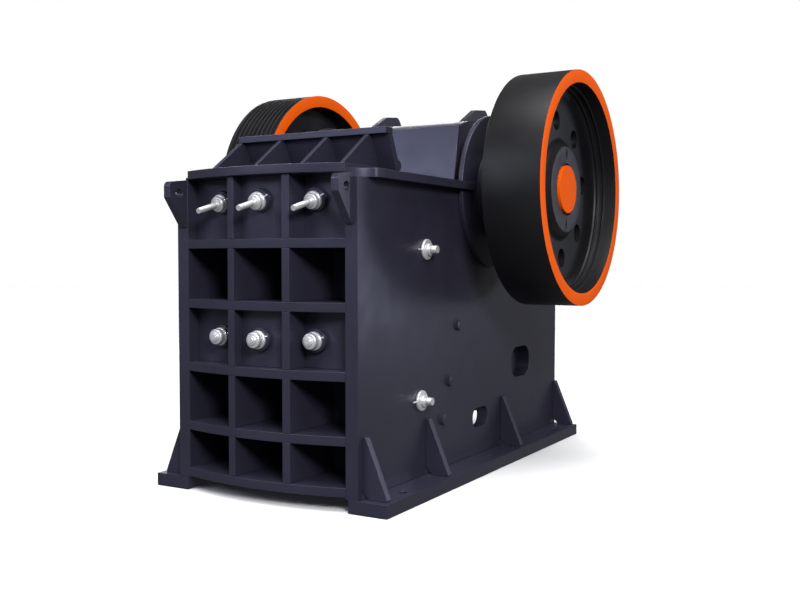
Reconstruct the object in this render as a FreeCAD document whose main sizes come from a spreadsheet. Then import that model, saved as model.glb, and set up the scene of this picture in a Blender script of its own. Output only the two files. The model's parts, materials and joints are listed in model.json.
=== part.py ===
"""Single-toggle jaw crusher with a welded box frame.

+X runs across the machine towards the flywheel, +Y from the bowed front grid
to the toggle end, +Z up. The origin is on the floor, at the centre of the four
corner anchor holes, midway along the frame and midway between its side plates.
Every size is in millimetres and lives in the sheet "Sizes".
"""
import FreeCAD, Part
import math
import os
import re
import Sketcher

SIZES = {
    # welded box frame
    "frame_length": 2560,
    "inside_width": 960,
    "side_thick": 70,
    "side_height": 1584,
    "foot_thick": 65,
    "foot_reach": 157,
    "foot_setback": 15,
    "foot_tail": 8,
    "anchor_radius": 21,
    "anchor_spread": 2040,
    "anchor_offset": 94.2,
    "saddle_shoulder": 100,
    "foot_gusset_thick": 40,
    "foot_gusset_height": 295,
    "foot_gusset_toe": 132,
    "foot_gusset_toe_height": 12,
    "foot_gusset_place_1": 42,
    "foot_gusset_place_2": 670,
    "foot_gusset_place_3": 1636,
    "foot_gusset_nose": 16,
    "mouse_hole": 38,
    # bowed front grid
    "rib_thick": 46,
    "rib_1_level": 73,
    "rib_2_level": 316,
    "rib_3_level": 622,
    "rib_4_level": 948,
    "rib_5_level": 1252,
    "rib_bow": 68,
    "left_upright_place": -152,
    "right_upright_place": 179,
    "upright_thick": 42,
    "side_panel_setback": 75,
    "middle_panel_setback": 0,
    "panel_thick": 25,
    "wall_setback": 330,
    "wall_thick": 60,
    "flange_level": 1606,
    "flange_thick": 44,
    "flange_bow": 90,
    "side_flange_thick": 43,
    "side_flange_reach": 52,
    "side_flange_corner": 130,
    "side_flange_corner_run": 30,
    "side_flange_sweep": 170,
    "side_flange_rounding": 40,
    "side_flange_end": 1172,
    # feed guard over the front wall
    "guard_height": 214,
    "guard_half_width": 467,
    "guard_rail_thick": 34,
    "guard_rail_depth": 70,
    "guard_front": 398,
    "guard_lean": 110,
    "guard_plate_thick": 40,
    "guard_gusset_run": 261,
    "guard_gusset_thick": 24,
    "guard_foot_radius": 28,
    # lifting ears on the front edges of the side plates
    "ear_thick": 42,
    "ear_inset": 5,
    "ear_rise": 12,
    "ear_reach": 124,
    "ear_toe": 14,
    "ear_top": 1592,
    "ear_foot": 1364,
    "ear_shoulder": 1510,
    "ear_rounding": 28,
    "ear_hole_radius": 23,
    "ear_hole_level": 1534,
    "ear_hole_reach": 57,
    # crushing chamber
    "liner_thick": 30,
    "liner_clearance": 8,
    "fixed_plate_thick": 100,
    "moving_plate_thick": 100,
    "tooth_height": 30,
    "plate_foot_level": 150,
    "plate_top_level": 1560,
    "plate_neck_gap": 60,
    "cheek_foot_run": 60,
    "cheek_top_run": 10,
    # swing jaw
    "shaft_place": 1486,
    "shaft_level": 1594,
    "head_radius": 425,
    "jaw_foot_place": 745,
    "jaw_foot_level": 290,
    "jaw_neck_place": 1190,
    "jaw_neck_level": 1600,
    "jaw_seat_place": 1300,
    "jaw_seat_level": 470,
    "jaw_seat_half_height": 110,
    "jaw_foot_depth": 190,
    "jaw_foot_drop": 40,
    "jaw_back_run": 60,
    "jaw_back_rise": 520,
    "shield_thick": 30,
    "shield_rise": 16,
    "shield_clearance": 14,
    "lug_place": 320,
    "lug_thick": 40,
    "lug_hole_radius": 27,
    "lug_hole_reach": 325,
    "lug_hole_level": 455,
    "lug_front_reach": 234,
    "lug_front_level": 529,
    "lug_peak_reach": 366,
    "lug_peak_level": 544,
    "lug_back_reach": 422,
    "lug_back_level": 482,
    "lug_rounding": 90,
    # rotor
    "journal_radius": 160,
    "bearing_radius": 145,
    "wheel_seat_radius": 135,
    "running_gap": 0.05,
    "housing_radius": 300,
    "housing_flange_radius": 445,
    "housing_flange_thick": 30,
    "housing_collar_step": 40,
    "journal_gap": 4,
    "seat_shoulder": 20,
    "pulley_shoulder": 5,
    "shaft_tail": 10,
    "flywheel_clearance": 25,
    "pulley_clearance": 10,
    "wheel_radius": 660,
    "rim_thick": 70,
    "flywheel_place": 793,
    "flywheel_width": 328,
    "flywheel_web_thick": 70,
    "flywheel_web_place": 110,
    "flywheel_hub_face": 225,
    "pulley_place": 625,
    "pulley_width": 330,
    "pulley_radius": 655,
    "pulley_web_place": 200,
    "pulley_hub_setback": 40,
    "groove_margin": 15,
    "groove_depth": 22,
    "hub_radius": 265,
    "shaft_end": 1030,
    "web_hole_radius": 55,
    "web_hole_circle": 392,
    "web_hole_turn": 7,
    # toggle end
    "beam_place": 1850,
    "beam_depth": 330,
    "beam_level": 430,
    "beam_height": 240,
    "toggle_thick": 70,
    "toggle_width": 760,
    "seat_gap": 0.3,
    "rear_wall_thick": 50,
    "rear_wall_setback": 180,
    "rear_wall_foot": 140,
    "rear_wall_top": 1180,
    "tension_rod_radius": 26,
    "tension_rod_place": 230,
    "tension_rod_rise": 10,
    "tension_rod_clearance": 6,
    "tension_nut_rim": 16,
    "tension_nut_height": 32,
    "spring_radius": 62,
    "spring_length": 120,
    "spring_cup_rim": 6,
    "spring_cup_thick": 14,
    "tension_lug_width": 70,
    "tension_lug_front": 200,
    "tension_lug_back": 90,
    "tension_lug_top": 360,
    "shim_level": 470,
    "shim_height": 160,
    "shim_half_width": 300,
    "rear_rib_level": 750,
    "rear_rib_setback": 10,
    # windows in the side plates
    "upper_window_place": 1801,
    "upper_window_width": 285,
    "upper_window_level": 454,
    "upper_window_height": 189,
    "upper_window_rounding": 80,
    "lower_window_place": 1245,
    "lower_window_width": 197,
    "lower_window_level": 219,
    "lower_window_height": 113,
    "lower_window_rounding": 50,
    # tie bolts
    "bolt_radius": 15,
    "nut_radius": 41,
    "washer_radius": 47,
    "upper_bolt_level": 1490,
    "upper_bolt_place_1": -299,
    "upper_bolt_place_2": -3,
    "upper_bolt_place_3": 274,
    "upper_bolt_reach_1": 208,
    "upper_bolt_reach_2": 188,
    "upper_bolt_reach_3": 205,
    "lower_bolt_level": 804,
    "lower_bolt_place_1": -305,
    "lower_bolt_place_2": -7,
    "lower_bolt_place_3": 274,
    "lower_bolt_reach": 84,
    "side_bolt_1_place": 665,
    "side_bolt_1_level": 1249,
    "side_bolt_2_place": 611,
    "side_bolt_2_level": 463,
    "head_1_place": 1036,
    "head_1_level": 832,
    "head_2_place": 932,
    "head_2_level": 533,
    "head_3_place": 855,
    "head_3_level": 329,
    "guard_gusset_place_1": 342,
    "guard_gusset_place_2": 95,
    "guard_gusset_place_3": -201,
    "bolt_seat_radius": 61,
    "bolt_seat_thick": 26,
    "washer_thick": 18,
    "nut_height": 34,
    "side_washer_radius": 55,
    "side_washer_thick": 18,
    "side_nut_radius": 32,
    "side_nut_height": 28,
    "side_stud_radius": 21,
    "side_stud_reach": 26,
    "head_bolt_radius": 32,
    "head_height": 18,
}

doc = FreeCAD.newDocument("JawCrusher")
sheet = doc.addObject("Spreadsheet::Sheet", "Sizes")
for row, (alias, size) in enumerate(SIZES.items(), 1):
    sheet.set("A%d" % row, alias)
    sheet.set("B%d" % row, str(size))
    sheet.setAlias("B%d" % row, alias)
doc.recompute()

ALIAS = re.compile(r"\b(%s)\b" % "|".join(sorted(SIZES, key=len, reverse=True)))

# Lengths along the machine count from the front edges of the side plates.
FRONT = "-frame_length / 2"
REAR = "frame_length / 2"
INNER = "inside_width / 2"
OUTER = "(inside_width / 2 + side_thick)"
FOOT_EDGE = "(inside_width / 2 + side_thick + foot_reach)"
LINER = "(inside_width / 2 - liner_thick)"
JAW_SIDE = "(inside_width / 2 - liner_thick - liner_clearance)"
SHAFT_Y = "(shaft_place - frame_length / 2)"
TOP = "(flange_level + flange_thick)"

# Places on the jaw's round head, as parts of its radius along and above the shaft.
HEAD_FRONT = (-0.55, 0.8352)
HEAD_BACK = (0.75, -0.6614)
LUG_FRONT_FOOT = (0.08, 0.9968)
LUG_BACK_FOOT = (0.8, 0.6)

TEETH = 10
TOOTH_CREST = (0.35, 0.65)
GROOVES = 9
GROOVE_FORM = (0.25, 0.55, 0.8)
WEB_HOLES = 8
UPPER_BOLT_LEAN = 15
LOWER_BOLT_LEAN = 0

nodes = []


def bound(text):
    """The same expression with every size name pointing into the sheet."""
    return ALIAS.sub(lambda found: "Sizes." + found.group(0), str(text))


def value(text):
    """The present number behind an expression."""
    return float(sheet.evalExpression(str(text)))


def along(text):
    """A place along the machine, counted from the front edge of the side plates."""
    return "(%s - frame_length / 2)" % text


def on_head(spot):
    """The expressions of one of the places on the jaw's head."""
    return ("%s + head_radius * (%s)" % (SHAFT_Y, spot[0]),
            "shaft_level + head_radius * (%s)" % spot[1])


def across(side, low, high):
    """A span across the machine, on the +X side or mirrored to the -X side."""
    if side > 0:
        return low, high
    return "-(%s)" % high, "-(%s)" % low


def node(piece, label):
    """Names a finished sub-part, which is then written to its own file."""
    piece.Label = label
    nodes.append(piece)
    return piece


def named(kind, name):
    """A new object of the document."""
    return doc.addObject(kind, name)


def set_size(piece, field, text):
    """Ties one field of an object to an expression of the sheet's sizes."""
    piece.setExpression(field, bound(text))


def box(name, x, y, z):
    """A block from (low, high) spans along the three axes."""
    piece = named("Part::Box", name)
    for field, way, (low, high) in zip(("Length", "Width", "Height"), "xyz", (x, y, z)):
        set_size(piece, field, "(%s) - (%s)" % (high, low))
        set_size(piece, "Placement.Base." + way, low)
    return piece


TURNS = {
    "x": FreeCAD.Rotation(FreeCAD.Vector(0, 1, 0), 90),
    "y": FreeCAD.Rotation(FreeCAD.Vector(1, 0, 0), -90),
    "z": FreeCAD.Rotation(),
}


def rod(name, way, radius, span, places):
    """A cylinder along one axis; places gives its other two coordinates in order."""
    piece = named("Part::Cylinder", name)
    piece.Placement = FreeCAD.Placement(FreeCAD.Vector(), TURNS[way])
    low, high = span
    set_size(piece, "Radius", radius)
    set_size(piece, "Height", "(%s) - (%s)" % (high, low))
    set_size(piece, "Placement.Base." + way, low)
    for other, place in zip([axis for axis in "xyz" if axis != way], places):
        set_size(piece, "Placement.Base." + other, place)
    return piece


def cut(name, base, tool):
    piece = named("Part::Cut", name)
    piece.Base = base
    piece.Tool = tool
    return piece


def fuse(name, pieces):
    if len(pieces) == 1:
        return pieces[0]
    piece = named("Part::MultiFuse", name)
    piece.Shapes = pieces
    return piece


def common(name, first, second):
    piece = named("Part::MultiCommon", name)
    piece.Shapes = [first, second]
    return piece


def group(name, pieces):
    """Like pieces that don't touch, kept as separate solids of one sub-part."""
    piece = named("Part::Compound", name)
    piece.Links = pieces
    return piece


def arc_centre(start, end, radius, turn):
    """Centre of the arc from start to end that curves left (+1) or right (-1)."""
    half = (end - start) * 0.5
    rise = math.sqrt(max(radius ** 2 - half.Length ** 2, 0))
    left = FreeCAD.Vector(-half.y, half.x, 0)
    return start + half + left * (turn * rise / half.Length)


def outline(sketch, points):
    """Draws a closed outline of lines and arcs, each corner bound to the sheet.

    A point is (across, up). A third entry gives the radius of the arc that ends
    there, and a fourth its turn: +1 to the left, -1 to the right.
    """
    spots = [FreeCAD.Vector(value(point[0]), value(point[1]), 0) for point in points]
    ends = []
    radii = []
    for index, point in enumerate(points):
        start, end = spots[index - 1], spots[index]
        if len(point) == 2:
            edge = sketch.addGeometry(Part.LineSegment(start, end))
            ends.append((edge, 1, 2))
            continue
        radius, turn = value(point[2]), point[3]
        centre = arc_centre(start, end, radius, turn)
        first, last = (start, end) if turn > 0 else (end, start)
        angles = [math.atan2(spot.y - centre.y, spot.x - centre.x) for spot in (first, last)]
        circle = Part.Circle(centre, FreeCAD.Vector(0, 0, 1), radius)
        edge = sketch.addGeometry(Part.ArcOfCircle(circle, *angles))
        ends.append((edge, 1, 2) if turn > 0 else (edge, 2, 1))
        radii.append((edge, point[2], radius))
    for index, (edge, _, finish) in enumerate(ends):
        following, begin, _ = ends[(index + 1) % len(ends)]
        sketch.addConstraint(Sketcher.Constraint("Coincident", edge, finish, following, begin))
    for (edge, _, finish), point, spot in zip(ends, points, spots):
        for kind, text, size in (("DistanceX", point[0], spot.x), ("DistanceY", point[1], spot.y)):
            number = sketch.addConstraint(Sketcher.Constraint(kind, -1, 1, edge, finish, size))
            sketch.setExpression("Constraints[%d]" % number, bound(text))
    for edge, text, size in radii:
        number = sketch.addConstraint(Sketcher.Constraint("Radius", edge, size))
        sketch.setExpression("Constraints[%d]" % number, bound(text))


def new_sketch(body, name, plane):
    sketch = body.newObject("Sketcher::SketchObject", name)
    support = [item for item in body.Origin.OriginFeatures if item.Role == plane + "_Plane"]
    sketch.AttachmentSupport = [(support[0], "")]
    sketch.MapMode = "FlatFace"
    return sketch


def slab(name, plane, points, low, high):
    """A plate of one outline: in "YZ" from x = low to high, in "XY" from z = low to high."""
    body = named("PartDesign::Body", name)
    sketch = new_sketch(body, name + "_outline", plane)
    outline(sketch, points)
    set_size(sketch, "AttachmentOffset.Base.z", low)
    pad = body.newObject("PartDesign::Pad", name + "_pad")
    pad.Profile = sketch
    set_size(pad, "Length", "(%s) - (%s)" % (high, low))
    return body


def lathe(name, points):
    """A body turned about the X axis from an outline of (x, radius)."""
    body = named("PartDesign::Body", name)
    sketch = new_sketch(body, name + "_outline", "XY")
    outline(sketch, points)
    turned = body.newObject("PartDesign::Revolution", name + "_turn")
    turned.Profile = sketch
    turned.ReferenceAxis = (sketch, ["H_Axis"])
    turned.Angle = 360
    set_size(body, "Placement.Base.y", SHAFT_Y)
    set_size(body, "Placement.Base.z", "shaft_level")
    return body


# ---------------------------------------------------------------- box frame

SIDES = {"right": 1, "left": -1}


def rounded(low_y, high_y, low_z, high_z, radius):
    """An outline of a rounded rectangle, counter-clockwise."""
    return [
        ("%s - %s" % (high_y, radius), low_z),
        (high_y, "%s + %s" % (low_z, radius), radius, 1),
        (high_y, "%s - %s" % (high_z, radius)),
        ("%s - %s" % (high_y, radius), high_z, radius, 1),
        ("%s + %s" % (low_y, radius), high_z),
        (low_y, "%s - %s" % (high_z, radius), radius, 1),
        (low_y, "%s + %s" % (low_z, radius)),
        ("%s + %s" % (low_y, radius), low_z, radius, 1),
    ]


def side_plate(label, side):
    """A thick side plate, dipped for the bearing, low behind it, with two windows."""
    shape = [
        (FRONT, "foot_thick"),
        (REAR, "foot_thick"),
        (REAR, "rear_wall_top"),
        (along("shaft_place + housing_radius + saddle_shoulder"), "side_height"),
        (FRONT, "side_height"),
    ]
    low, high = across(side, INNER, OUTER)
    plate = slab(label + "_blank", "YZ", shape, low, high)
    saddle = rod(label + "_saddle", "x", "housing_radius + seat_gap", (low, high),
                 (SHAFT_Y, "shaft_level"))
    windows = [slab(label + "_" + which, "YZ",
                    rounded(along(which + "_place"), along("%s_place + %s_width" % (which, which)),
                            which + "_level", "%s_level + %s_height" % (which, which),
                            which + "_rounding"), low, high)
               for which in ("upper_window", "lower_window")]
    node(cut(label, plate, fuse(label + "_cuts", [saddle] + windows)), label)


def foot_plate(label, side):
    """The long foot under a side plate, with three anchor holes."""
    low, high = across(side, "inside_width / 2 + foot_setback", FOOT_EDGE)
    plate = box(label + "_blank", (low, high), (FRONT, REAR + " + foot_tail"), ("0", "foot_thick"))
    middle = "%d * (inside_width / 2 + side_thick + anchor_offset)" % side
    holes = [rod("%s_anchor_%d" % (label, number), "z", "anchor_radius", ("-1", "foot_thick + 1"),
                 (middle, "%d * anchor_spread / 2" % number)) for number in (-1, 0, 1)]
    node(cut(label, plate, fuse(label + "_anchors", holes)), label)


GUSSET_PLACES = ("foot_gusset_place_1", "foot_gusset_place_2", "foot_gusset_place_3",
                 "frame_length - foot_gusset_thick")


def foot_gussets(label, side):
    """Four upright gussets that stay the side plate on its foot."""
    top = "foot_thick + foot_gusset_height"
    toe = "%s + foot_gusset_toe" % OUTER
    shape = [
        (OUTER + " + mouse_hole", "foot_thick"),
        (toe, "foot_thick"),
        (toe, "foot_thick + foot_gusset_toe_height"),
        (OUTER + " + foot_gusset_nose", top),
        (OUTER, top),
        (OUTER, "foot_thick + mouse_hole"),
    ]
    if side < 0:
        shape = [("-(%s)" % point[0], point[1]) for point in reversed(shape)]
    pieces = []
    for number, place in enumerate(GUSSET_PLACES, 1):
        pieces.append(slab("%s_%d" % (label, number), "XZ", shape,
                           "-(%s + foot_gusset_thick)" % along(place), "-(%s)" % along(place)))
    node(group(label, pieces), label)


def bowed(name, bow, setback, back, low, high, half_width=INNER):
    """A plate between the side plates whose front edge bows outward.

    The bow is an arc through the two front corners; setback moves it back.
    """
    radius = "((inside_width / 2) ^ 2 + %s ^ 2) / (2 * %s)" % (bow, bow)
    centre = "%s + (%s) - %s + %s" % (FRONT, radius, bow, setback)
    drum = rod(name + "_arc", "z", "(%s)" % radius, (low, high), ("0", centre))
    blank = box(name + "_blank", ("-" + half_width, half_width),
                ("%s - %s" % (FRONT, bow), along(back)), (low, high))
    return common(name, blank, drum)


RIBS = ["rib_%d_level" % number for number in (1, 2, 3, 4, 5)]


def front_ribs():
    """The five bowed ribs across the front, each a sub-part of its own."""
    for number, level in enumerate(RIBS, 1):
        label = "front_rib_%d" % number
        node(bowed(label, "rib_bow", "0", "wall_setback", level, level + " + rib_thick"), label)


def uprights():
    """Two upright stiffeners, in lengths between the horizontal ribs."""
    pieces = []
    tops = RIBS[1:] + ["flange_level"]
    for word in SIDES:
        middle = "%s_upright_place" % word
        for number, (level, top) in enumerate(zip(RIBS, tops), 1):
            name = "%s_upright_%d" % (word, number)
            blank = bowed(name + "_bow", "rib_bow", "0", "wall_setback",
                          level + " + rib_thick", top)
            strip = box(name + "_strip",
                        (middle + " - upright_thick / 2", middle + " + upright_thick / 2"),
                        (FRONT + " - rib_bow", along("wall_setback")),
                        (level + " + rib_thick", top))
            pieces.append(common(name, blank, strip))
    node(group("front_uprights", pieces), "front_uprights")


def front_panels(label, level, top):
    """The shallow panels of one row, which carry that row's tie bolts."""
    side_face, middle_face = "side_panel_setback", "middle_panel_setback"
    left, right, half = "left_upright_place", "right_upright_place", " upright_thick / 2"
    cells = [("-" + INNER, left + " -" + half, side_face),
             (left + " +" + half, right + " -" + half, middle_face),
             (right + " +" + half, INNER, side_face)]
    pieces = []
    for number, (low, high, face) in enumerate(cells, 1):
        pieces.append(box("%s_%d" % (label, number), (low, high),
                          (along(face), along(face + " + panel_thick")),
                          (level + " + rib_thick", top)))
    return node(group(label, pieces), label)


def front_wall():
    """The heavy wall behind the grid, which backs the fixed jaw plate."""
    node(box("front_wall", ("-" + INNER, INNER),
             (along("wall_setback"), along("wall_setback + wall_thick")),
             ("rib_1_level", "flange_level")), "front_wall")


def front_flange():
    """The bowed flange on top of the front grid."""
    flange = bowed("front_flange", "flange_bow", "0", "wall_setback + wall_thick", "flange_level",
                   TOP)
    node(flange, "front_flange")


def side_flange(label, side):
    """The flange along the top of a side plate, with a swept front corner."""
    edge = OUTER + " + side_flange_reach"
    shape = [
        (INNER, FRONT),
        (edge + " - side_flange_corner_run",
         along("side_flange_corner - side_flange_corner_run"), "side_flange_sweep", -1),
        (edge, along("side_flange_corner"), "side_flange_rounding", 1),
        (edge, along("side_flange_end")),
        (INNER, along("side_flange_end")),
    ]
    if side < 0:
        shape = [("-(%s)" % point[0],) + point[1:3] + tuple(-turn for turn in point[3:])
                 for point in shape]
        shape = mirrored_order(shape)
    plate = slab(label + "_blank", "XY", shape, "side_height", "side_height + side_flange_thick")
    relief = across(side, OUTER, OUTER + " + housing_flange_thick + 2 * seat_gap")
    notch = rod(label + "_notch", "x", "housing_flange_radius + seat_gap", relief,
                (SHAFT_Y, "shaft_level"))
    node(cut(label, plate, notch), label)


def mirrored_order(shape):
    """Runs an outline the other way round, keeping each arc between its own ends."""
    turned = []
    count = len(shape)
    for index in range(count - 1, -1, -1):
        arc = shape[(index + 1) % count][2:]
        if arc:
            arc = (arc[0], -arc[1])
        turned.append(tuple(shape[index][:2]) + tuple(arc))
    return turned


def lifting_ear(label, side):
    """A lifting ear on the front edge of a side plate."""
    reach = FRONT + " - ear_reach"
    shape = [
        (FRONT, "ear_foot"),
        (FRONT, "ear_top + ear_rise"),
        (reach + " + ear_rounding", "ear_top"),
        (reach, "ear_top - ear_rounding", "ear_rounding", 1),
        (reach, "ear_shoulder"),
        (FRONT + " - ear_toe", "ear_foot"),
    ]
    span = across(side, INNER + " + ear_inset", INNER + " + ear_inset + ear_thick")
    plate = slab(label + "_blank", "YZ", shape, *span)
    hole = rod(label + "_hole", "x", "ear_hole_radius", span,
               (FRONT + " - ear_hole_reach", "ear_hole_level"))
    node(cut(label, plate, hole), label)


# --------------------------------------------------------------- feed guard

def guard():
    """The sloping guard that leads stone over the front wall."""
    half = "guard_half_width"
    top = TOP + " + guard_height"
    back = "guard_front + guard_lean"
    plate = [
        (along(back), TOP),
        (along(back + " + guard_plate_thick"), TOP),
        (along("guard_front + guard_rail_depth"), top + " - guard_rail_thick"),
        (along("guard_front + guard_rail_depth - guard_plate_thick"), top + " - guard_rail_thick"),
    ]
    sheet = slab("guard_sheet", "YZ", plate, "-" + half, half)
    foot = rod("guard_foot", "x", "guard_foot_radius", ("-" + half, half),
               (along(back + " + guard_plate_thick / 2"), TOP + " + guard_foot_radius"))
    node(fuse("guard_plate", [sheet, foot]), "guard_plate")
    node(box("guard_rail", ("-" + half, half),
             (along("guard_front"), along("guard_front + guard_rail_depth")),
             (top + " - guard_rail_thick", top)), "guard_rail")
    web = [
        (along("guard_front - guard_gusset_run"), TOP),
        (along(back), TOP),
        (along("guard_front + guard_rail_depth - guard_plate_thick"), top + " - guard_rail_thick"),
        (along("guard_front"), top + " - guard_rail_thick"),
    ]
    places = ("guard_gusset_place_1", "guard_gusset_place_2", "guard_gusset_place_3",
              "-guard_half_width")
    pieces = [slab("guard_gusset_%d" % number, "YZ", web, place, place + " + guard_gusset_thick")
              for number, place in enumerate(places, 1)]
    node(group("guard_gussets", pieces), "guard_gussets")


# --------------------------------------------------------- crushing chamber

def toothed(name, thick, length):
    """A jaw plate lying along +Z from its own origin, with upright teeth towards -Y."""
    pitch = "(2 * %s / %d)" % (JAW_SIDE, TEETH)
    shape = [("-" + JAW_SIDE, thick), ("-" + JAW_SIDE, "tooth_height")]
    for number in range(TEETH):
        start = "-%s + %d * %s" % (JAW_SIDE, number, pitch)
        for part in TOOTH_CREST:
            shape.append(("%s + %s * %s" % (start, part, pitch), "0"))
        shape.append(("%s + %s" % (start, pitch), "tooth_height"))
    shape.append((JAW_SIDE, thick))
    return slab(name, "XY", shape, "0", length)


def fixed_jaw_plate():
    """The fixed plate against the front wall; its teeth look back into the chamber."""
    plate = toothed("fixed_jaw_plate", "fixed_plate_thick", "plate_top_level - plate_foot_level")
    plate.Placement.Rotation = FreeCAD.Rotation(FreeCAD.Vector(0, 0, 1), 180)
    set_size(plate, "Placement.Base.y", along("wall_setback + wall_thick + fixed_plate_thick"))
    set_size(plate, "Placement.Base.z", "plate_foot_level")
    node(plate, "fixed_jaw_plate")


JAW_RUN = "(jaw_neck_place - jaw_foot_place)"
JAW_RISE = "(jaw_neck_level - jaw_foot_level)"


def swing_jaw_plate():
    """The moving plate, lying on the leaning front face of the swing jaw."""
    length = "(sqrt(%s ^ 2 + %s ^ 2) - plate_neck_gap)" % (JAW_RUN, JAW_RISE)
    plate = toothed("swing_jaw_plate", "moving_plate_thick", length)
    plate.Placement.Rotation = FreeCAD.Rotation(FreeCAD.Vector(1, 0, 0), -1)
    lean = "atan(%s / %s)" % (JAW_RUN, JAW_RISE)
    set_size(plate, "Placement.Rotation.Angle", "-" + lean)
    slant = "sqrt(%s ^ 2 + %s ^ 2)" % (JAW_RUN, JAW_RISE)
    set_size(plate, "Placement.Base.y",
             "%s - moving_plate_thick * %s / %s" % (along("jaw_foot_place"), JAW_RISE, slant))
    set_size(plate, "Placement.Base.z",
             "jaw_foot_level + moving_plate_thick * %s / %s" % (JAW_RUN, slant))
    node(plate, "swing_jaw_plate")


def cheek_plate(label, side):
    """The wear liner on the inner face of a side plate."""
    front = along("wall_setback + wall_thick")
    shape = [
        (front, "plate_foot_level"),
        (along("jaw_foot_place + cheek_foot_run"), "plate_foot_level"),
        (along("jaw_neck_place + cheek_top_run"), "plate_top_level"),
        (front, "plate_top_level"),
    ]
    low, high = across(side, LINER, INNER)
    node(slab(label, "YZ", shape, low, high), label)


# ---------------------------------------------------------------- swing jaw

TENSION_END = along("jaw_seat_place - tension_lug_back")
TENSION_LEVEL = "(jaw_foot_level + tension_rod_rise)"


def swing_jaw():
    """The swing jaw casting: a barrel head on the shaft and a tapering body."""
    shape = [
        (along("jaw_foot_place"), "jaw_foot_level"),
        (along("jaw_foot_place + jaw_foot_depth"), "jaw_foot_level - jaw_foot_drop"),
        (along("jaw_seat_place"), "jaw_seat_level - jaw_seat_half_height"),
        (along("jaw_seat_place"), "jaw_seat_level + jaw_seat_half_height"),
        (along("jaw_seat_place + jaw_back_run"), "jaw_seat_level + jaw_back_rise"),
        on_head(HEAD_BACK),
        on_head(HEAD_FRONT) + ("head_radius", 1),
        (along("jaw_neck_place"), "jaw_neck_level"),
    ]
    casting = slab("swing_jaw_casting", "YZ", shape, "-" + JAW_SIDE, JAW_SIDE)
    ears = [box("tension_lug_%d" % number,
                ("%d * tension_rod_place - tension_lug_width / 2" % side,
                 "%d * tension_rod_place + tension_lug_width / 2" % side),
                (along("jaw_foot_place + tension_lug_front"), TENSION_END),
                ("jaw_foot_level - jaw_foot_drop", "tension_lug_top"))
            for number, side in enumerate((1, -1), 1)]
    bore = rod("swing_jaw_bore", "x", "journal_radius + running_gap",
               ("-%s - 1" % JAW_SIDE, JAW_SIDE + " + 1"), (SHAFT_Y, "shaft_level"))
    node(cut("swing_jaw", fuse("swing_jaw_body", [casting] + ears), bore), "swing_jaw")


def jaw_shield():
    """The plate that keeps stone off the head of the swing jaw."""
    low_y = along("jaw_neck_place")
    high_y, head_top = on_head(HEAD_FRONT)
    half = "(inside_width / 2 - shield_clearance)"
    shape = [
        ("%s - shield_thick" % low_y, "jaw_neck_level + shield_thick"),
        (low_y, "jaw_neck_level"),
        (high_y, head_top),
        (high_y, head_top + " + shield_rise"),
        (high_y + " - shield_thick", head_top + " + shield_rise"),
    ]
    node(slab("jaw_head_shield", "YZ", shape, "-" + half, half), "jaw_head_shield")


def jaw_lugs():
    """Two lugs on the head, which lift the swing jaw out."""
    shape = [
        on_head(LUG_FRONT_FOOT),
        on_head(LUG_BACK_FOOT),
        (SHAFT_Y + " + lug_back_reach", "shaft_level + lug_back_level"),
        (SHAFT_Y + " + lug_peak_reach", "shaft_level + lug_peak_level", "lug_rounding", 1),
        (SHAFT_Y + " + lug_front_reach", "shaft_level + lug_front_level"),
    ]
    pieces = []
    for number, side in enumerate((1, -1), 1):
        middle = "%d * lug_place" % side
        span = (middle + " - lug_thick / 2", middle + " + lug_thick / 2")
        blank = slab("jaw_lug_blank_%d" % number, "YZ", shape, *span)
        head = rod("jaw_lug_seat_%d" % number, "x", "head_radius + seat_gap", span,
                   (SHAFT_Y, "shaft_level"))
        hole = rod("jaw_lug_hole_%d" % number, "x", "lug_hole_radius", span,
                   (SHAFT_Y + " + lug_hole_reach", "shaft_level + lug_hole_level"))
        cuts = fuse("jaw_lug_cuts_%d" % number, [head, hole])
        pieces.append(cut("jaw_lug_%d" % number, blank, cuts))
    node(group("jaw_lugs", pieces), "jaw_lugs")


# -------------------------------------------------------------------- rotor

def shaft():
    """The eccentric shaft: the journal under the head, the bearings and the wheel seats."""
    points = [
        ("-pulley_place - pulley_width - shaft_tail", "0"),
        ("shaft_end", "0"),
        ("shaft_end", "wheel_seat_radius"),
        ("flywheel_place - seat_shoulder", "wheel_seat_radius"),
        ("flywheel_place - seat_shoulder", "bearing_radius"),
        (JAW_SIDE + " + journal_gap", "bearing_radius"),
        (JAW_SIDE + " + journal_gap", "journal_radius"),
        ("-%s - journal_gap" % JAW_SIDE, "journal_radius"),
        ("-%s - journal_gap" % JAW_SIDE, "bearing_radius"),
        ("-pulley_place + pulley_shoulder", "bearing_radius"),
        ("-pulley_place + pulley_shoulder", "wheel_seat_radius"),
        ("-pulley_place - pulley_width - shaft_tail", "wheel_seat_radius"),
    ]
    node(lathe("eccentric_shaft", points), "eccentric_shaft")


def bearing_housing(label, side, outer):
    """A bearing housing in the saddle of a side plate, with a flange on its outer face."""
    points = [
        (INNER, "bearing_radius + running_gap"),
        (outer, "bearing_radius + running_gap"),
        (outer, "housing_radius - housing_collar_step"),
        (OUTER + " + seat_gap + housing_flange_thick", "housing_radius - housing_collar_step"),
        (OUTER + " + seat_gap + housing_flange_thick", "housing_flange_radius"),
        (OUTER + " + seat_gap", "housing_flange_radius"),
        (OUTER + " + seat_gap", "housing_radius"),
        (INNER, "housing_radius"),
    ]
    if side < 0:
        points = [("-(%s)" % point[0], point[1]) for point in points]
    node(lathe(label, points), label)


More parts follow.
